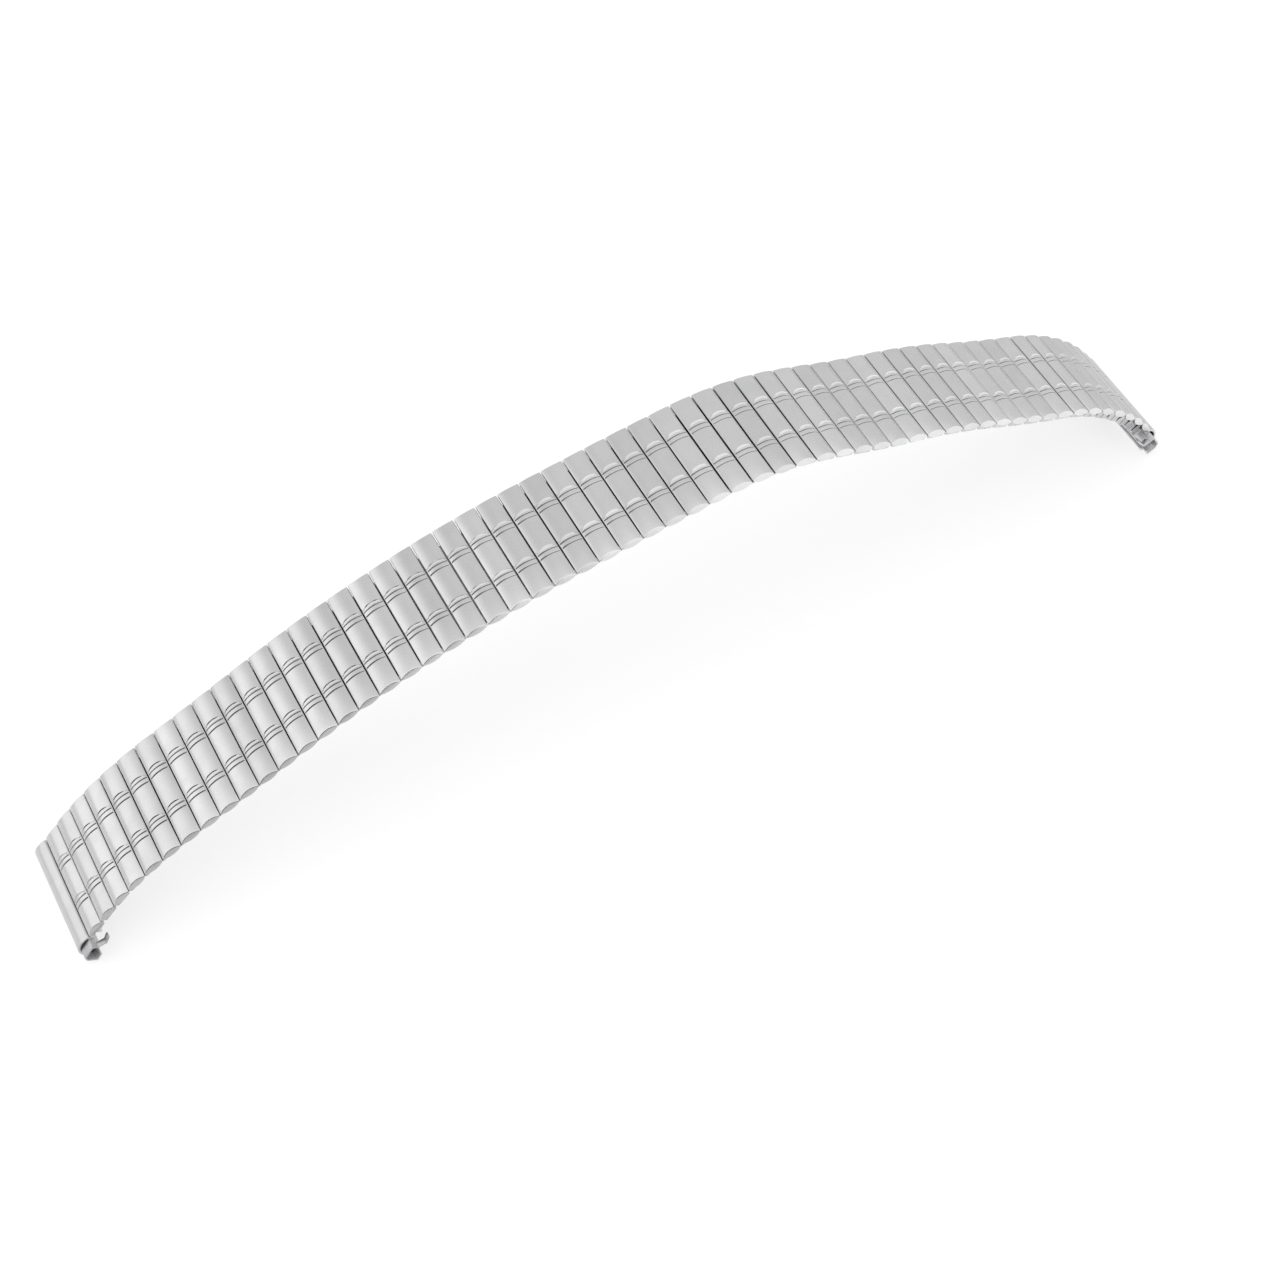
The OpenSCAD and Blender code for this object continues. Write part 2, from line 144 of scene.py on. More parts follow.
# Edges flatter than this are shaded smooth, and those of the engraved lines stay sharp from LINE_SHARP
SMOOTH_BELOW, LINE_SHARP = math.radians(32), math.radians(3)
# The waves of painted shade along the band, which make some links a little darker than others in place of
# their slight tilts: height, radians a link and start
LINK_SHADE_WAVES = [(0.3, 1.3, 0), (0.2, 2.9, 1)]


def arc_radius(chord, rise):
    """The radius of an arc from its chord and its rise."""
    return (chord * chord / 4 + rise * rise) / (2 * rise)


def turned(degrees, x, z):
    """A point of the side view, turned about its origin."""
    a = math.radians(degrees)
    return Vector((x * math.cos(a) - z * math.sin(a), x * math.sin(a) + z * math.cos(a)))


def hinge_x(k):
    """Where link k hinges on the next one, from the start of link k."""
    return PITCH + LEG_X if k < LINKS else PITCH - LEG_X


# The chain of links, then stood on its two ends: 0 is the left cap, LINKS + 1 the right one
bends = [degrees for count, degrees in BENDS for _ in range(count)]
angles, starts = [0.0], [Vector((0, 0))]
for k in range(LINKS + 1):
    angles.append(angles[k] - bends[k])
    hinge = starts[k] + turned(angles[k], hinge_x(k), UPPER_LEG_Z)
    starts.append(hinge - turned(angles[k + 1], hinge_x(k) - PITCH, UPPER_LEG_Z))

ARCH_R = arc_radius(COVER_L, COVER_RISE)
CROWN_Z = COVER_EDGE_Z + COVER_RISE
FOOT_Z = CAP_FOOT_R - CAP_DROP
FOOT_U = CAP_U + math.sqrt((CAP_R - CAP_FOOT_R) ** 2 - (CAP_Z - FOOT_Z) ** 2)
EDGE_U = CAP_START + CAP_EDGE_R
EDGE_Z = CAP_Z + math.sqrt((CAP_R - CAP_EDGE_R) ** 2 - (CAP_U - EDGE_U) ** 2)

left_foot = starts[0] + turned(angles[0], PITCH - FOOT_U, FOOT_Z)
right_foot = starts[-1] + turned(angles[-1], FOOT_U, FOOT_Z)
tilt = math.degrees(math.atan2(right_foot.y - left_foot.y, right_foot.x - left_foot.x))
angles = [a - tilt for a in angles]
starts = [turned(-tilt, *(s - left_foot)) + Vector((0, CAP_FOOT_R)) for s in starts]
left_end = starts[0] + turned(angles[0], PITCH - CAP_U, CAP_Z)
right_end = starts[-1] + turned(angles[-1], CAP_U, CAP_Z)
starts = [s - Vector(((left_end.x + right_end.x) / 2, 0)) for s in starts]


def link_place(k):
    """Puts a link's own millimetres at its place in the band, in metres."""
    at = Matrix.Translation((starts[k].x, MIDDLE_Y, starts[k].y))
    return Matrix.Scale(MM, 4) @ at @ Matrix.Rotation(math.radians(-angles[k]), 4, "Y")


def cap_place(side):
    """Puts a cap at its end of the band: its side view runs outwards from the last link."""
    if side == "right":
        return link_place(LINKS + 1)
    return link_place(0) @ Matrix.Translation((PITCH, 0, 0)) @ Matrix.Scale(-1, 4, (1, 0, 0))


def node_of(k):
    """The node of link k: its own, or one that it shares with its neighbour."""
    for first in PAIRED:
        if k in (first, first + 1):
            return f"links_{first:02d}_{first + 1:02d}"
    return f"link_{k:02d}"


# Sheet work: side views drawn as wires, swept across the band and given their thickness

def draw(bm, start, *moves):
    """Draws a side view from point to point.

    A move of four numbers swings round a centre instead: x, z, degrees and steps."""
    tip = bm.verts.new((start[0], 0, start[1]))
    for move in moves:
        if len(move) == 2:
            tip = bmesh.ops.extrude_vert_indiv(bm, verts=[tip])["verts"][0]
            tip.co = (move[0], 0, move[1])
        else:
            x, z, degrees, steps = move
            swung = bmesh.ops.spin(bm, geom=[tip], cent=(x, 0, z), axis=(0, 1, 0),
                                   angle=math.radians(degrees), steps=steps)["geom_last"]
            tip = [v for v in swung if isinstance(v, bmesh.types.BMVert)][0]


def sweep(bm, stations):
    """Sweeps the wires of a side view across the band, with a row of points at each station."""
    edges = bm.edges[:]
    bmesh.ops.translate(bm, verts=bm.verts, vec=(0, stations[0], 0))
    for here, there in zip(stations, stations[1:]):
        made = bmesh.ops.extrude_edge_only(bm, edges=edges)["geom"]
        points = {v for v in made if isinstance(v, bmesh.types.BMVert)}
        edges = [e for e in made if isinstance(e, bmesh.types.BMEdge) and set(e.verts) <= points]
        bmesh.ops.translate(bm, verts=list(points), vec=(0, there - here, 0))


def close_face(bm):
    """Joins the ends of a drawn outline and fills it."""
    bmesh.ops.remove_doubles(bm, verts=bm.verts, dist=TOUCH)
    bmesh.ops.contextual_create(bm, geom=bm.edges[:])


def block(bm, y1, y2):
    """Draws a filled side view out from one place across the band to another."""
    bmesh.ops.translate(bm, verts=bm.verts, vec=(0, y1, 0))
    made = bmesh.ops.extrude_face_region(bm, geom=bm.faces[:])["geom"]
    bmesh.ops.translate(bm, verts=[v for v in made if isinstance(v, bmesh.types.BMVert)],
                        vec=(0, y2 - y1, 0))


def bar(w, length, h, x, z):
    """A plain bar across the band: its size, its middle and the height of its foot."""
    bm = bmesh.new()
    bmesh.ops.create_cube(bm, size=1)
    bmesh.ops.scale(bm, verts=bm.verts, vec=(w, length, h))
    bmesh.ops.translate(bm, verts=bm.verts, vec=(x, 0, z + h / 2))
    bm.normal_update()
    return bm


def thicken(bm, t):
    """Gives a sheet its thickness, inwards from the side that faces away from its hollow."""
    bmesh.ops.solidify(bm, geom=bm.faces[:], thickness=t)


def round_edges(bm, edges, width, segments):
    bmesh.ops.bevel(bm, geom=edges, offset=width, segments=segments, profile=0.5,
                    affect="EDGES", clamp_overlap=True, material=-1)


def soften(bm, width, sharper_than, segments=2, pick=None):
    """Rounds the outer edges that are sharper than an angle in degrees."""
    sharp = [e for e in bm.edges
             if e.is_manifold and e.is_convex and e.calc_face_angle() > math.radians(sharper_than)
             and (pick is None or pick(e))]
    round_edges(bm, sharp, width, segments)


def outwards(bm):
    """Welds the points that meet and turns all the faces outwards."""
    bmesh.ops.remove_doubles(bm, verts=bm.verts, dist=WELD)
    bmesh.ops.recalc_face_normals(bm, faces=bm.faces)


def joined(*shapes):
    """Puts several shapes together in the first one."""
    bm = shapes[0]
    for shape in shapes[1:]:
        mesh = bpy.data.meshes.new("shape")
        shape.to_mesh(mesh)
        shape.free()
        bm.from_mesh(mesh)
        bpy.data.meshes.remove(mesh)
    return bm


def link_shade_of(link):
    """How much painted shade a link gets, from 0 to 1."""
    wear = 0.5
    for height, turn, start in LINK_SHADE_WAVES:
        wear += height * math.sin(turn * link + start)
    return wear


def finished(name, bm, place, link, node, material):
    """Keeps each point's own place on its sub-part for the grain, then puts the piece in the band.

    It rides on the body that has its node's name."""
    grain = bm.verts.layers.float_vector.new("own_place")
    # Each point also carries its link's painted shade, which stands in for the links' slight tilts
    wear = bm.verts.layers.float.new("wear")
    link_shade_level = link_shade_of(link)
    for v in bm.verts:
        v[grain] = v.co + Vector((link * PITCH, 0, 0))
        v[wear] = link_shade_level
    for e in bm.edges:
        e.smooth = e.smooth and e.is_manifold and e.calc_face_angle() < SMOOTH_BELOW
    for f in bm.faces:
        f.smooth = True
    bmesh.ops.transform(bm, matrix=place, verts=bm.verts)
    if place.determinant() < 0:
        bmesh.ops.reverse_faces(bm, faces=bm.faces)
    mesh = bpy.data.meshes.new(name)
    bm.to_mesh(mesh)
    mesh.materials.append(material)
    piece = bpy.data.objects.new(name, mesh)
    bpy.context.scene.collection.objects.link(piece)
    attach(piece, node)
    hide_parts(node)


# Finishes

class Wire:
    """A socket of a finish; sums, differences and products of it add Math nodes."""

    def __init__(self, finish, socket):
        self.finish, self.socket = finish, socket

    def _maths(self, operation, a, b):
        return self.finish.add("Math", {"operation": operation}, {0: a, 1: b})

    def __add__(self, other):
        return self._maths("ADD", self, other)

    def __radd__(self, other):
        return self._maths("ADD", other, self)

    def __sub__(self, other):
        return self._maths("SUBTRACT", self, other)

    def __rsub__(self, other):
        return self._maths("SUBTRACT", other, self)

    def __mul__(self, other):
        return self._maths("MULTIPLY", self, other)

    def __abs__(self):
        return self._maths("ABSOLUTE", self, 0)


class Finish:
    """A material or a world, made node by node."""

    def __init__(self, owner):
        owner.use_nodes = True
        self.tree = owner.node_tree
        self.tree.nodes.clear()

    def add(self, kind, settings=(), sockets=(), out=0):
        """Adds a node: its settings first, a ramp's stops among them, then its sockets' values or links.

        Where out lists several outputs, all of them come back."""
        node = self.tree.nodes.new("ShaderNode" + kind)
        for name, value in dict(settings).items():
            if name == "stops":
                ramp = node.color_ramp.elements
                while len(ramp) < len(value):
                    ramp.new(1)
                for stop, (position, colour) in zip(ramp, value):
                    stop.position, stop.color = position, (*colour, 1)
            else:
                setattr(node, name, value)
        for name, value in dict(sockets).items():
            if isinstance(value, Wire):
                self.tree.links.new(value.socket, node.inputs[name])
            else:
                node.inputs[name].default_value = value
        if isinstance(out, tuple):
            return [Wire(self, node.outputs[name]) for name in out]
        return Wire(self, node.outputs[out]) if node.outputs else None


def clamp_band(finish, value, low, high):
    """0 below low and 1 above high, with a straight run between."""
    return finish.add("MapRange", {"clamp": True}, {"Value": value, "From Min": low, "From Max": high})


# How far the steel's tone goes up and down, the colour of the painted shade, and how much the painted shade
# in the seams and each link's painted shade cover the steel
STAIN = 0.05
PAINTED_SHADE_COLOUR = (0.05, 0.05, 0.052, 1)
PAINTED_SHADE_COVER, LINK_SHADE_COVER = 0.92, 0.12
# The stretch where a cover's finish changes to that of its folded ends, whose specks stand this many times
# as high as the brushed lines
FLAP_FROM, FLAP_FULL = BAND_W / 2 - 0.15, BAND_W / 2 - 0.05
SPECK_HEIGHT = 2.5
# What each of these adds to the roughness at its strongest
LINES_ROUGH, SMUDGE_ROUGH, PAINTED_SHADE_ROUGH, FLAP_ROUGH = 0.15, 0.05, 0.2, 0.1
# The depth of the brushed lines, in metres
FINE, COARSE = 0.000002, 0.000003


def mesh_value(finish, name, out):
    return finish.add("Attribute", {"attribute_type": "GEOMETRY", "attribute_name": name}, out=out)


def blend_colours(finish, factor, a, b):
    return finish.add("Mix", {"data_type": "RGBA"}, {"Factor": factor, "A": a, "B": b}, out=2)


def steel(name, colour, rough, brushing, depth):
    """Satin steel: brushed lines along the sub-part, faint smudges, and painted shade: each link a little
    darker by its own amount, and the seams darker still.

    brushing says how fine the lines are along each axis, and depth how deep they are."""
    material = bpy.data.materials.new(name)
    finish = Finish(material)
    place = mesh_value(finish, "own_place", "Vector")
    grime = mesh_value(finish, "grime", "Fac")
    wear = mesh_value(finish, "wear", "Fac")
    along = finish.add("VectorMath", {"operation": "MULTIPLY"}, {0: place, 1: brushing})
    lines = finish.add("TexNoise", {}, {"Vector": along, "Scale": 1.0, "Detail": 3.0, "Roughness": 0.65})
    cloud = finish.add("TexNoise", {}, {"Vector": place, "Scale": 0.45, "Detail": 2.0})
    smudge = clamp_band(finish, cloud, low=0.4, high=0.68)
    flap = clamp_band(finish, abs(finish.add("SeparateXYZ", {}, {0: place}, out="Y")), FLAP_FROM, FLAP_FULL)
    speck = finish.add("TexNoise", {}, {"Vector": place, "Scale": 6.0, "Detail": 2.0, "Roughness": 0.7})
    bright, dull = [(*[c * (1 + change) for c in colour], 1) for change in (STAIN, -STAIN)]
    shade = blend_colours(finish, (smudge + lines) * 0.5, bright, dull)
    # Painted shade: a cover's seams, walls and underside go towards near-black, and each link is darkened a
    # little by its own painted shade
    with_painted_shade = blend_colours(finish, grime * PAINTED_SHADE_COVER + wear * (1 - grime) * LINK_SHADE_COVER, shade, PAINTED_SHADE_COLOUR)
    height = lines * (1 - flap) + speck * flap * SPECK_HEIGHT
    uneven = (lines - 0.5) * LINES_ROUGH + smudge * SMUDGE_ROUGH + grime * PAINTED_SHADE_ROUGH + flap * FLAP_ROUGH
    surface = finish.add("BsdfPrincipled", {}, {
        "Base Color": with_painted_shade,
        "Metallic": 1.0,
        "Roughness": rough + uneven,
        "Normal": finish.add("Bump", {}, {"Strength": 1.0, "Distance": depth, "Height": height})})
    finish.add("OutputMaterial", {}, {"Surface": surface})
    return material


cover_steel = steel("satin_cover_steel", (0.82, 0.82, 0.825), 0.25, (0.35, 9, 9), FINE)
sleeve_steel = steel("sleeve_steel", (0.70, 0.70, 0.71), 0.3, (0.5, 7, 7), FINE)
cap_steel = steel("brushed_cap_steel", (0.79, 0.79, 0.795), 0.26, (7, 0.3, 7), FINE)
insert_steel = steel("plain_sheet_steel", (0.68, 0.68, 0.69), 0.32, (6, 0.5, 6), COARSE)
staple_steel = steel("staple_steel", (0.66, 0.66, 0.67), 0.3, (6, 6, 6), COARSE)
spring_steel = steel("leaf_spring_steel", (0.5, 0.51, 0.54), 0.28, (9, 0.4, 9), FINE)


# The sub-parts, each about its own link

def at_height(verts, z):
    return [v for v in verts if abs(v.co.z - z) < TOUCH]


def run(e, axis):
    """How far an edge runs along an axis: x, y or z."""
    a, b = [getattr(v.co, axis) for v in e.verts]
    return abs(a - b)


def lowest(e):
    """The height of an edge's lower end."""
    return min(v.co.z for v in e.verts)


def fold_flap(bm, end):
    """Folds down a cover's front (-1) or back (1) end.

    It leans back above the height of the long edges and hangs upright below it."""
    def rim():
        return [v for v in bm.verts if abs(v.co.y - end * BAND_W / 2) < TOUCH]

    flap_r = arc_radius(COVER_L, FLAP_DROP)
    swing = -2 * math.degrees(math.asin(COVER_L / 2 / flap_r))
    corner = [v for v in at_height(rim(), FLAP_CORNER_Z) if v.co.x < 0]
    bmesh.ops.spin(bm, geom=corner, cent=(0, corner[0].co.y, FLAP_CORNER_Z - FLAP_DROP + flap_r),
                   axis=(0, 1, 0), angle=math.radians(swing), steps=10)
    bmesh.ops.remove_doubles(bm, verts=rim(), dist=TOUCH)
    points = set(rim())
    edges = [e for e in bm.edges if set(e.verts) <= points]
    chord = bmesh.ops.contextual_create(bm, geom=at_height(points, COVER_EDGE_Z))["edges"]
    top = [e for e in edges if lowest(e) > COVER_EDGE_Z - TOUCH]
    low = [e for e in edges if e not in top and not at_height(e.verts, COVER_WALL_Z)]
    bmesh.ops.contextual_create(bm, geom=top + chord)
    bmesh.ops.contextual_create(bm, geom=low + chord)
    for v in rim():
        if v.co.z > COVER_EDGE_Z:
            v.co.y -= end * (v.co.z - COVER_EDGE_Z) * math.tan(math.radians(END_LEAN))
    for v in at_height(rim(), COVER_WALL_Z):
        v.co.y -= end * COVER_SHEET


def cover():
    """The arched cover with its folded ends and its two groups of engraved lines."""
    half = COVER_L / 2
    arch_z = CROWN_Z - ARCH_R

    def folded(e):
        return lowest(e) > COVER_EDGE_Z - TOUCH and run(e, "x") <= half

    def engraved(e):
        in_lines = max(abs(v.co.y) for v in e.verts) < LINE_Y + 2 * LINE_PITCH
        return in_lines and lowest(e) > COVER_EDGE_Z and run(e, "x") > run(e, "y")

    bm = bmesh.new()
    swing = 2 * math.degrees(math.asin(half / ARCH_R))
    draw(bm, (-half, COVER_WALL_Z), (-half, FLAP_CORNER_Z), (-half, COVER_EDGE_Z), (0, arch_z, swing, 16),
         (half, FLAP_CORNER_Z), (half, COVER_WALL_Z))
    rows = {side * LINE_Y + at * LINE_PITCH + off + swell: (swell, share, at < 1 and share >= 1)
            for side in (-1, 1) for at, off, share, swell in LINE_ROWS}
    sweep(bm, [-BAND_W / 2, *sorted(rows), BAND_W / 2])
    for end in (-1, 1):
        fold_flap(bm, end)
    outwards(bm)
    thicken(bm, COVER_SHEET)
    soften(bm, COVER_BEND, sharper_than=25, segments=3, pick=folded)
    # The lines keep their depth over the crown and run out before both edges. Painted shade: the walls, the
    # underside and the bottoms of the two front lines of each group are marked for darkening, where shade
    # falls in the gaps and grooves.
    grime = bm.verts.layers.float.new("grime")
    for v in bm.verts:
        x, y, z = v.co
        inside = abs(y) < BAND_W / 2 - COVER_BEND
        r = math.hypot(x, z - arch_z)
        if abs(r - ARCH_R) > TOUCH:
            under = z < COVER_EDGE_Z - COVER_BEND / 2 or r < ARCH_R - COVER_SHEET / 2
            v[grime] = 1.0 if inside and under else 0.0
            continue
        row = min(rows, key=lambda at: abs(at - y))
        if abs(row - y) > TOUCH:
            continue
        swell, share, dark = rows[row]
        inner = max(0, 1 - (2 * x / LINE_L) ** 2)
        v.co.y -= swell * (1 - inner) * SWELL_LOST
        if inner > 0:
            v.co.z -= LINE_DEPTH * share
            v[grime] = 1.0 if dark else 0.0
    bm.normal_update()
    for e in bm.edges:
        if e.is_manifold and engraved(e) and e.calc_face_angle() > LINE_SHARP:
            e.smooth = False
    bmesh.ops.translate(bm, verts=bm.verts, vec=(PITCH / 2, 0, 0))
    outwards(bm)
    return bm


def flat_tube(w, h, wall, x, z):
    """A sleeve: a folded flat tube, open at both ends."""
    bm = bar(w, SLEEVE_L, h, x, z)
    round_edges(bm, [e for e in bm.edges if run(e, "y") > SLEEVE_L / 2], SLEEVE_ROUND, segments=3)
    bm.normal_update()
    ends = [f for f in bm.faces if abs(f.calc_center_median().y) > SLEEVE_L / 4]
    bmesh.ops.delete(bm, geom=ends, context="FACES_ONLY")
    thicken(bm, wall)
    outwards(bm)
    return bm


def leaf_spring(w, x, z):
    """A thin strip with rounded corners, which presses on the staples' legs."""
    bm = bar(w, LEAF_L, LEAF_T, x, z)
    round_edges(bm, [e for e in bm.edges if run(e, "z") > LEAF_T / 2], w / 5, segments=2)
    outwards(bm)
    return bm


def staple(edge, middle, side, sleeve_half):
    """One staple: two legs and the bow that joins them.

    Its edge is the front (-1) or the back (1) one, and its side left (-1) or right (1) of the middle."""
    bm = bmesh.new()
    half = max(sleeve_half - BOW_SIDE, LEG_X + TONGUE_R)
    arch_r = arc_radius(LOWER_W - 2 * BOW_SIDE, BOW_RISE)
    arch_z = BOW_TOP_Z - arch_r

    def arch_height(x):
        return arch_z + math.sqrt(arch_r ** 2 - x * x)

    def arch_swing(x1, x2):
        return math.degrees(math.asin(x2 / arch_r) - math.asin(x1 / arch_r))

    def on_face(e):
        return min(v.co.y for v in e.verts) > BOW_Y + BOW_T - TOUCH

    inner, left, right = -BOW_SIDE / 2, -LEG_X - TONGUE_R, -LEG_X + TONGUE_R
    foot = BOW_SIDE / 2
    moves = [(-half + SLEEVE_ROUND, foot), (-half + SLEEVE_ROUND, foot + SLEEVE_ROUND, 90, 3)]
    if left > -half + TOUCH:
        moves += [(-half, arch_height(-half)), (0, arch_z, arch_swing(-half, left), 1)]
    moves += [(left, UPPER_LEG_Z), (-LEG_X, UPPER_LEG_Z, 180, 6), (right, arch_height(right)),
              (0, arch_z, arch_swing(right, inner), 2), (inner, foot)]
    draw(bm, (inner, foot), *moves)
    close_face(bm)
    block(bm, BOW_Y, BOW_Y + BOW_T)
    outwards(bm)
    soften(bm, BOW_EDGE, sharper_than=50, segments=1, pick=on_face)
    for z in (UPPER_LEG_Z, LOWER_LEG_Z):
        start, end = SLEEVE_L / 2 - LEG_L, BOW_Y + BOW_T / 2
        leg = bmesh.ops.create_cone(bm, cap_ends=True, segments=12, radius1=LEG_R, radius2=LEG_R,
                                    depth=end - start)["verts"]
        bmesh.ops.rotate(bm, verts=leg, matrix=Matrix.Rotation(math.radians(90), 3, "X"))
        bmesh.ops.translate(bm, verts=leg, vec=(-LEG_X, (start + end) / 2, z))
    bmesh.ops.scale(bm, verts=bm.verts, vec=(-side, edge, 1))
    bmesh.ops.translate(bm, verts=bm.verts, vec=(middle, 0, 0))
    outwards(bm)
    return bm


def staples(middle, sides, sleeve_half):
    """The staples of one lower sleeve, on both edges of the band."""
    return joined(*[staple(edge, middle, side, sleeve_half) for edge in (-1, 1) for side in sides])


def cap_sheet():
    """The folded cap: its wall by the last link, the arch over the end and the lip under it."""
    bm = bmesh.new()
    edge_angle = math.degrees(math.atan2(EDGE_Z - CAP_Z, EDGE_U - CAP_U))
    foot_angle = math.degrees(math.atan2(FOOT_Z - CAP_Z, FOOT_U - CAP_U))
    draw(bm, (CAP_START, 0), (CAP_START, CAP_GATE_Z), (CAP_START, EDGE_Z),
         (EDGE_U, EDGE_Z, 180 - edge_angle, 6), (CAP_U, CAP_Z, edge_angle - foot_angle, 28),
         (FOOT_U, FOOT_Z, foot_angle + 90, 8), (FOOT_U + CAP_FOOT_R - CAP_LIP, -CAP_DROP))
    bmesh.ops.remove_doubles(bm, verts=bm.verts, dist=TOUCH)
    sweep(bm, [-BAND_W / 2, -CAP_GATE_Y, CAP_GATE_Y, BAND_W / 2])
    # The inserts' tabs come out through a gate at each edge of the wall
    middles = [(f, f.calc_center_median()) for f in bm.faces]
    gates = [f for f, m in middles if abs(m.y) > CAP_GATE_Y and m.x < CAP_START + TOUCH and m.z < CAP_GATE_Z]
    bmesh.ops.delete(bm, geom=gates, context="FACES")
    outwards(bm)
    thicken(bm, CAP_SHEET)
    soften(bm, SHEET_EDGE, sharper_than=50)
    outwards(bm)
    return bm


def half_sleeve():
    """The half sleeve folded from the cap's sheet, for the last staples."""
    bm = bmesh.new()
    wall, r = CAP_START + CAP_SHEET / 2, SLEEVE_ROUND
    draw(bm, (wall, LOWER_H), (r - HALF_SLEEVE, LOWER_H), (r - HALF_SLEEVE, LOWER_H - r, -90, 4),
         (-HALF_SLEEVE, r), (r - HALF_SLEEVE, r, -90, 4), (wall, 0))
    sweep(bm, [-SLEEVE_L / 2, SLEEVE_L / 2])
    outwards(bm)
    thicken(bm, LOWER_WALL)
    outwards(bm)
    return bm


def insert_channel():
    """The insert's folded channel, at the front edge and pushed home."""
    bm = bmesh.new()
    top_u = CAP_U + math.sqrt(INSERT_R ** 2 - (INSERT_TOP - CAP_Z) ** 2)
    out_z = CAP_Z + math.sqrt(INSERT_R ** 2 - (INSERT_OUT - CAP_U) ** 2)
    swing = math.degrees(math.atan2(INSERT_TOP - CAP_Z, top_u - CAP_U)
                         - math.atan2(out_z - CAP_Z, INSERT_OUT - CAP_U))
    draw(bm, (INSERT_WALL, BAR_Z), (INSERT_WALL, INSERT_TOP), (top_u, INSERT_TOP),
         (CAP_U, CAP_Z, swing, 6), (INSERT_OUT, INSERT_FOOT), (INSERT_OUT - INSERT_LIP, INSERT_FOOT))
    bmesh.ops.remove_doubles(bm, verts=bm.verts, dist=TOUCH)
    sweep(bm, [-BAND_W / 2, INSERT_L - BAND_W / 2])
    outwards(bm)
    thicken(bm, INSERT_SHEET)
    soften(bm, SHEET_EDGE, sharper_than=30)
    outwards(bm)
    return bm


def bar_tube():
    """The rolled tube that takes one end of the spring bar."""
    bm = bmesh.new()
    bmesh.ops.create_circle(bm, segments=40, radius=BAR_R + INSERT_SHEET)
    bmesh.ops.rotate(bm, verts=bm.verts, matrix=Matrix.Rotation(math.radians(90), 3, "X"))
    bmesh.ops.translate(bm, verts=bm.verts, vec=(BAR_U, 0, BAR_Z))
    sweep(bm, [TUBE_BACK - BAND_W / 2, INSERT_L - BAND_W / 2])
    outwards(bm)
    thicken(bm, INSERT_SHEET)
    soften(bm, TUBE_EDGE, sharper_than=50)
    outwards(bm)
    return bm


def tab(slant, turn_z, reach, tip_z):
    """The tab that bends down from the insert's wall and under the last link."""
    bm = bmesh.new()
    u = INSERT_WALL + INSERT_SHEET / 2
    draw(bm, (u, TAB_START_Z), (u - slant, turn_z), (-reach, tip_z))
    sweep(bm, [-BAND_W / 2, TAB_W - BAND_W / 2])
    bm.normal_update()
    # What is drawn is the middle of the sheet, and it thickens from its outer side
    for v in bm.verts:
        v.co += v.normal * v.calc_shell_factor() * INSERT_SHEET / 2
    thicken(bm, INSERT_SHEET)
    outwards(bm)
    soften(bm, TAB_EDGE, sharper_than=30)
    outwards(bm)
    return bm


# The band, link by link

link_parts = [
    ("cover", cover(), cover_steel),
    ("upper_sleeve", flat_tube(UPPER_W, UPPER_H, UPPER_WALL, PITCH / 2, UPPER_Z), sleeve_steel),
    ("upper_leaf_spring", leaf_spring(UPPER_W - 2 * SLEEVE_ROUND, PITCH / 2, UPPER_LEAF_Z), spring_steel),
    ("lower_sleeve", flat_tube(LOWER_W, LOWER_H, LOWER_WALL, PITCH, 0), sleeve_steel),
    ("lower_leaf_spring", leaf_spring(LOWER_W - 2 * SLEEVE_ROUND, PITCH, LOWER_LEAF_Z), spring_steel),
    ("staples", staples(PITCH, (-1, 1), LOWER_W / 2), staple_steel),
]
# No lower sleeve comes after the last link
last_link_parts = link_parts[:3]
for k in range(1, LINKS + 1):
    parts = last_link_parts if k == LINKS else link_parts
    for name, shape, material in parts:
        finished(f"{name}_{k:02d}", shape.copy(), link_place(k), k, node_of(k), material)

for side in ("left", "right"):
    node = f"cap_{side}"
    cap_parts = [
        (node, joined(cap_sheet(), half_sleeve()), cap_steel),
        (f"{node}_staples", staples(0, (-1,), HALF_SLEEVE), staple_steel),
        (f"{node}_leaf_spring", leaf_spring(CAP_LEAF_W, CAP_LEAF_X, LOWER_LEAF_Z), spring_steel),
    ]
    for name, shape, material in cap_parts:
        finished(name, shape, cap_place(side), 0, node, material)
    for edge, facing, shift in (("front", 1, -FRONT_OUT), ("back", -1, 0)):
        node = f"insert_{side}_{edge}"
        at = cap_place(side) @ Matrix.Translation((0, shift, 0)) @ Matrix.Scale(facing, 4, (0, 1, 0))
        shape = joined(insert_channel(), bar_tube(), tab(*TABS[side]))
        finished(node, shape, at, 0, node, insert_steel)


# Floor, light and background

def soft_box(name, place, aim, size, power):
    """A wide lamp that lights the floor; the steel doesn't mirror it."""
    data = bpy.data.lights.new(name, "AREA")
    data.shape, data.size, data.size_y = "RECTANGLE", *size
    data.energy = power
    lamp = bpy.data.objects.new(name, data)
    lamp.location = place
    lamp.rotation_euler = (Vector(place) - Vector(aim)).to_track_quat("Z", "Y").to_euler()
    lamp.visible_glossy = False
    bpy.context.scene.collection.objects.link(lamp)


def larger(finish, a, b):
    return finish.add("Math", {"operation": "MAXIMUM"}, {0: a, 1: b})


def sheet(name, z, material):
    """A level sheet of the studio, such as its floor."""
    bm = bmesh.new()
    bmesh.ops.create_grid(bm, x_segments=4, y_segments=4, size=STUDIO_HALF)
    bmesh.ops.translate(bm, verts=bm.verts, vec=(0, 0, z))
    mesh = bpy.data.meshes.new(name)
    bm.to_mesh(mesh)
    mesh.materials.append(material)
    laid = bpy.data.objects.new(name, mesh)
    bpy.context.scene.collection.objects.link(laid)
    return laid


def blend_tones(finish, factor, a, b):
    return finish.add("Mix", {"data_type": "FLOAT"}, {"Factor": factor, "A": a, "B": b})


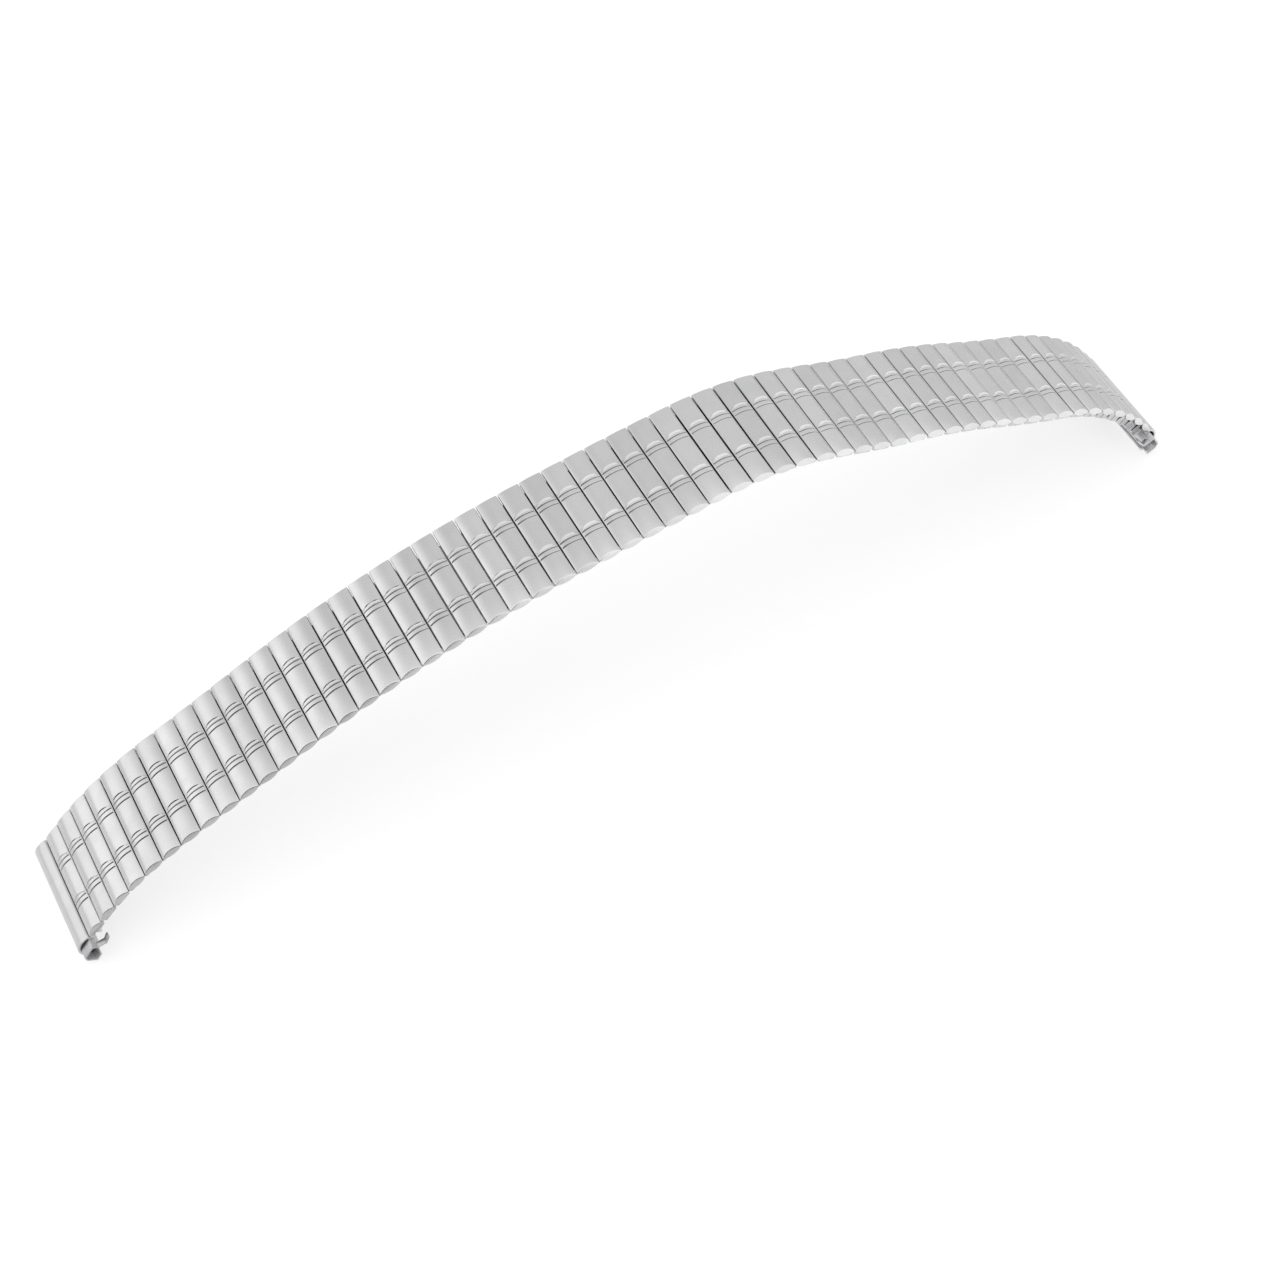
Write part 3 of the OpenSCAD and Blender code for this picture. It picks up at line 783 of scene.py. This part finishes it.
def ramp_tone(finish, x, start, end, low, high):
    """A tone that runs softly from low to high between two places."""
    return finish.add("MapRange", {"clamp": True, "interpolation_type": "SMOOTHSTEP"}, {
        "Value": x, "From Min": start, "From Max": end, "To Min": low, "To Max": high})


def sheet_place(finish):
    """The place on a sheet of the studio along the band and across it, in metres."""
    return finish.add("SeparateXYZ", {}, {0: finish.add("TexCoord", out="Object")}, out=("X", "Y"))


def direct_rays(finish):
    """1 for what the camera sees, straight, mirrored or through glass, and 0 for what only lights."""
    rays = finish.add("LightPath", out=("Is Camera Ray", "Is Glossy Ray", "Is Transmission Ray"))
    return larger(finish, larger(finish, rays[0], rays[1]), rays[2])


# Half the studio's width, and the heights of its floor, a hair under the band's feet, and of its paper
STUDIO_HALF, FLOOR_Z, PAPER_Z = 3, -0.00002, 0.1

# The floor has one tone to the camera. The steel mirrors it darker towards both ends of the band, and in
# front of the band darker on the left. The light that it throws back has a paler colour of its own.
FLOOR_GLOW = 0.68
FLOOR_LIGHTING, FLOOR_SEEN = (0.8, 0.8, 0.8, 1), (0.4, 0.4, 0.4, 1)

floor_paint = bpy.data.materials.new("floor_paint")
finish = Finish(floor_paint)
direct = direct_rays(finish)
x, y = sheet_place(finish)
left = ramp_tone(finish, x, start=-0.12, end=-0.05, low=0.45, high=1.0)
right = ramp_tone(finish, x, start=0.06, end=0.12, low=0.0, high=0.6)
front = ramp_tone(finish, x, start=-0.06, end=0.04, low=0.35, high=1.0)
mirrored = blend_tones(finish, clamp_band(finish, y, low=-0.014, high=-0.004), front, left - right)
tone = blend_tones(finish, finish.add("LightPath", out="Is Glossy Ray"), 1.0, mirrored)
painted = finish.add("BsdfPrincipled", {}, {
    "Base Color": blend_colours(finish, direct, FLOOR_LIGHTING, FLOOR_SEEN),
    "Roughness": 1.0,
    "Specular IOR Level": 0.0,
    "Emission Color": direct * tone * FLOOR_GLOW,
    "Emission Strength": 1.0})
finish.add("OutputMaterial", {}, {"Surface": painted})
sheet("floor", FLOOR_Z, floor_paint)

# The paper that hangs over the band: only the steel mirrors it. Over the band and behind it, it goes from
# white on the left to grey on the right, by these places in millimetres and tones. In front of the band
# it is white, and further out it is black on the left.
PAPER_TONES = [(-250, 1.03), (-160, 1.0), (-120, 0.92), (-85, 0.78), (-55, 0.655), (-30, 0.645),
               (-5, 0.685), (250, 0.7)]
PAPER_SPAN = 600

paper = bpy.data.materials.new("hanging_paper")
finish = Finish(paper)
x, y = sheet_place(finish)
stops = [(at / PAPER_SPAN + 0.5, (level,) * 3) for at, level in PAPER_TONES]
overhead = finish.add("ValToRGB", {"stops": stops}, {0: x * (1 / (PAPER_SPAN * MM)) + 0.5})
front = ramp_tone(finish, x, start=-0.05, end=0.0, low=0.0, high=1.05)
front = blend_tones(finish, clamp_band(finish, y, low=-0.1, high=-0.05), front, 1.0)
glow = blend_tones(finish, clamp_band(finish, y, low=0.0, high=0.025), front, overhead)
shining = finish.add("Emission", {}, {"Color": glow, "Strength": 1.0})
finish.add("OutputMaterial", {}, {"Surface": shining})
hung = sheet("hung_paper", PAPER_Z, paper)
hung.visible_camera = hung.visible_diffuse = hung.visible_transmission = hung.visible_shadow = False

# The room: the camera and the steel's mirror see it white. As a light it goes from white on the left to
# grey on the right, by these places from 0 to 1 and tones, and low at the front and the back it goes from
# bright to dark.
ROOM_TONES = [(0.0, 1.0), (0.08, 1.0), (0.15, 0.95), (0.2, 0.83), (0.25, 0.78), (0.35, 0.70),
              (0.5, 0.62), (0.56, 0.66), (1.0, 0.67)]

world = bpy.data.worlds.new("studio")
bpy.context.scene.world = world
finish = Finish(world)
x, y = finish.add("SeparateXYZ", {}, {0: finish.add("TexCoord", out="Generated")}, out=("X", "Y"))
stops = [(at, (level,) * 3) for at, level in ROOM_TONES]
overhead = finish.add("ValToRGB", {"stops": stops}, {0: x * 0.5 + 0.5})
sides = finish.add("MapRange", {"clamp": True}, {
    "Value": x * y, "From Min": -0.15, "From Max": 0.06, "To Min": 1.2, "To Max": 0.3})
glow = blend_tones(finish, clamp_band(finish, abs(y), low=0.62, high=0.85), overhead, sides)
room = finish.add("Background", {}, {"Color": glow, "Strength": 1.0})
backdrop = finish.add("Background", {}, {"Color": (1, 1, 1, 1), "Strength": 1.0})
seen = finish.add("MixShader", {}, {0: direct_rays(finish), 1: room, 2: backdrop})
finish.add("OutputWorld", {}, {"Surface": seen})

soft_box("top_box", place=(-0.15, -0.05, 0.7), aim=(0, 0, 0), size=(0.5, 0.4), power=1.2)

bpy.context.scene.view_settings.view_transform = "Standard"

bpy.context.view_layer.update()
